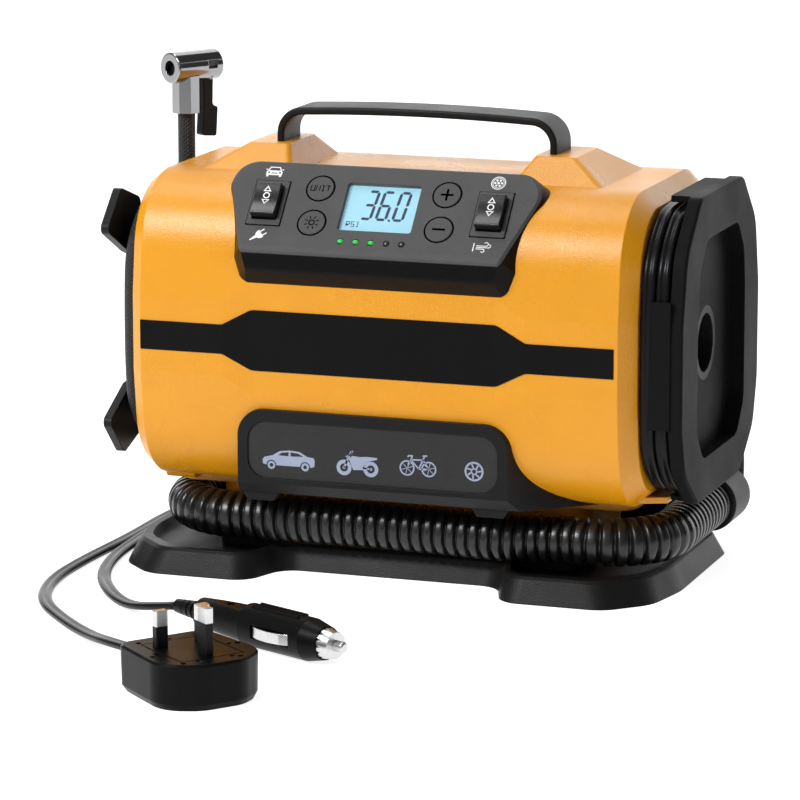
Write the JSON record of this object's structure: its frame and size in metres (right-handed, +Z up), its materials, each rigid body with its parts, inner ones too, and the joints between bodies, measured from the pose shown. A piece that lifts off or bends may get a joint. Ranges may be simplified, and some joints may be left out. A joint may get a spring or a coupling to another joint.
{
  "type": "air mattress and tyre pump",
  "caption": "Portable electric air pump with carry handle, slanted control panel, wound air hose and chuck, cord reel, stored air duct, mains and 12 V leads.",
  "frame": {"origin": "centre of the base's underside, on the surface the pump stands on", "axes": "+X along the body from the hose spool to the cord reel, -Y to the front with the control panel, +Z up"},
  "size_m": [0.3219, 0.4363, 0.2553],
  "materials": {
    "yellow_shell": "fine texture",
    "black_shell": "satin",
    "panel_grey": "grained",
    "gloss_black": "gloss",
    "stripe": "gloss",
    "screen": "clear",
    "lcd": "satin",
    "led_green": "clear tint",
    "board_green": "solder mask",
    "steel": "plain",
    "chrome": "polished",
    "nickel": "nickel plated",
    "aluminium": "cast",
    "rubber": "matt",
    "lead_black": "gloss sheath",
    "hose_black": "braided",
    "white_plastic": "plain"
  },
  "bodies": {
    "pump": {"handle": "black_shell", "panel_housing": "panel_grey", "housing_front": "yellow_shell", "housing_rear": "yellow_shell", "case_screws": "steel", "base_plate": "black_shell", "base_pads": "rubber", "switch_frames": "panel_grey", "display_window": "screen", "display_module": "lcd", "led_lenses": "led_green", "control_board": "board_green", "stripe_foil": "stripe", "badge_housing": "black_shell", "badge_insert": "black_shell", "reel_hub": "black_shell", "reel_plate": "black_shell", "dc_coil": "lead_black", "mains_coil": "lead_black", "mains_lead": "lead_black", "dc_lead": "lead_black", "spool_cap": "black_shell", "air_hose_coil": "hose_black", "air_hose_riser": "hose_black", "chuck_barrel": "chrome", "chuck_seal": "rubber", "chuck_collar": "chrome", "chuck_pin": "steel", "inflation_duct": "gloss_black", "duct_cuff": "black_shell", "duct_nozzle": "black_shell", "plug_body": "gloss_black", "plug_pins": "nickel", "plug_sleeves": "black_shell", "plug_relief": "lead_black", "lighter_body": "gloss_black", "lighter_contacts": "nickel", "lighter_ring": "nickel", "lighter_relief": "lead_black", "gear_plate": "steel", "compressor_motor": "steel", "cylinder": "aluminium", "blower_motor": "steel", "volute": "black_shell", "power_supply": "board_green", "pressure_tube": "rubber"},
    "unit_key": {"unit_button": "panel_grey"},
    "light_key": {"light_button": "panel_grey"},
    "plus_key": {"plus_button": "panel_grey"},
    "minus_key": {"minus_button": "panel_grey"},
    "power_switch": {"power_rocker": "gloss_black"},
    "air_switch": {"air_rocker": "gloss_black"},
    "lever": {"chuck_lever": "black_shell"},
    "contact_tip": {"lighter_tip": "nickel"},
    "crank": {"crank_gear": "steel"},
    "pinion": {"drive_pinion": "steel"},
    "piston_set": {"piston": "aluminium"},
    "fan": {"impeller": "white_plastic"}
  },
  "joints": [
    {"name": "unit_press", "type": "slide", "parent": "pump", "child": "unit_key", "axis": [0, 0.7547, -0.6561], "range_m": [0, 0.0008], "stiffness_N_per_m": 500, "springref_m": -0.0008},
    {"name": "light_press", "type": "slide", "parent": "pump", "child": "light_key", "axis": [0, 0.7547, -0.6561], "range_m": [0, 0.0008], "stiffness_N_per_m": 500, "springref_m": -0.0008},
    {"name": "plus_press", "type": "slide", "parent": "pump", "child": "plus_key", "axis": [0, 0.7547, -0.6561], "range_m": [0, 0.0008], "stiffness_N_per_m": 500, "springref_m": -0.0008},
    {"name": "minus_press", "type": "slide", "parent": "pump", "child": "minus_key", "axis": [0, 0.7547, -0.6561], "range_m": [0, 0.0008], "stiffness_N_per_m": 500, "springref_m": -0.0008},
    {"name": "power_rock", "type": "hinge", "parent": "pump", "child": "power_switch", "pos_m": [-0.0593, -0.06593, 0.19178], "axis": [1, 0, 0], "range_deg": [-8, 8]},
    {"name": "air_rock", "type": "hinge", "parent": "pump", "child": "air_switch", "pos_m": [0.0593, -0.06593, 0.19178], "axis": [1, 0, 0], "range_deg": [-8, 8]},
    {"name": "lever_swing", "type": "hinge", "parent": "pump", "child": "lever", "pos_m": [-0.13932, 0.04838, 0.2405], "axis": [0.8755, -0.4833, 0], "range_deg": [0, 70]},
    {"name": "tip_press", "type": "slide", "parent": "pump", "child": "contact_tip", "axis": [-0.9033, 0.4289, 0], "range_m": [0, 0.003], "stiffness_N_per_m": 800, "springref_m": -0.004},
    {"name": "crank_spin", "type": "hinge", "parent": "pump", "child": "crank", "pos_m": [-0.037, 0, 0.088], "axis": [1, 0, 0], "continuous": true},
    {"name": "pinion_spin", "type": "hinge", "parent": "pump", "child": "pinion", "pos_m": [-0.037, 0.0301, 0.088], "axis": [1, 0, 0], "continuous": true},
    {"name": "piston_stroke", "type": "slide", "parent": "pump", "child": "piston_set", "axis": [0, 0, 1], "range_m": [0, 0.016]},
    {"name": "fan_spin", "type": "hinge", "parent": "pump", "child": "fan", "pos_m": [0.085, 0, 0.125], "axis": [1, 0, 0], "continuous": true}
  ],
  "couplings": [
    {"joint": "pinion_spin", "follows": "crank_spin", "ratio": -4}
  ]
}
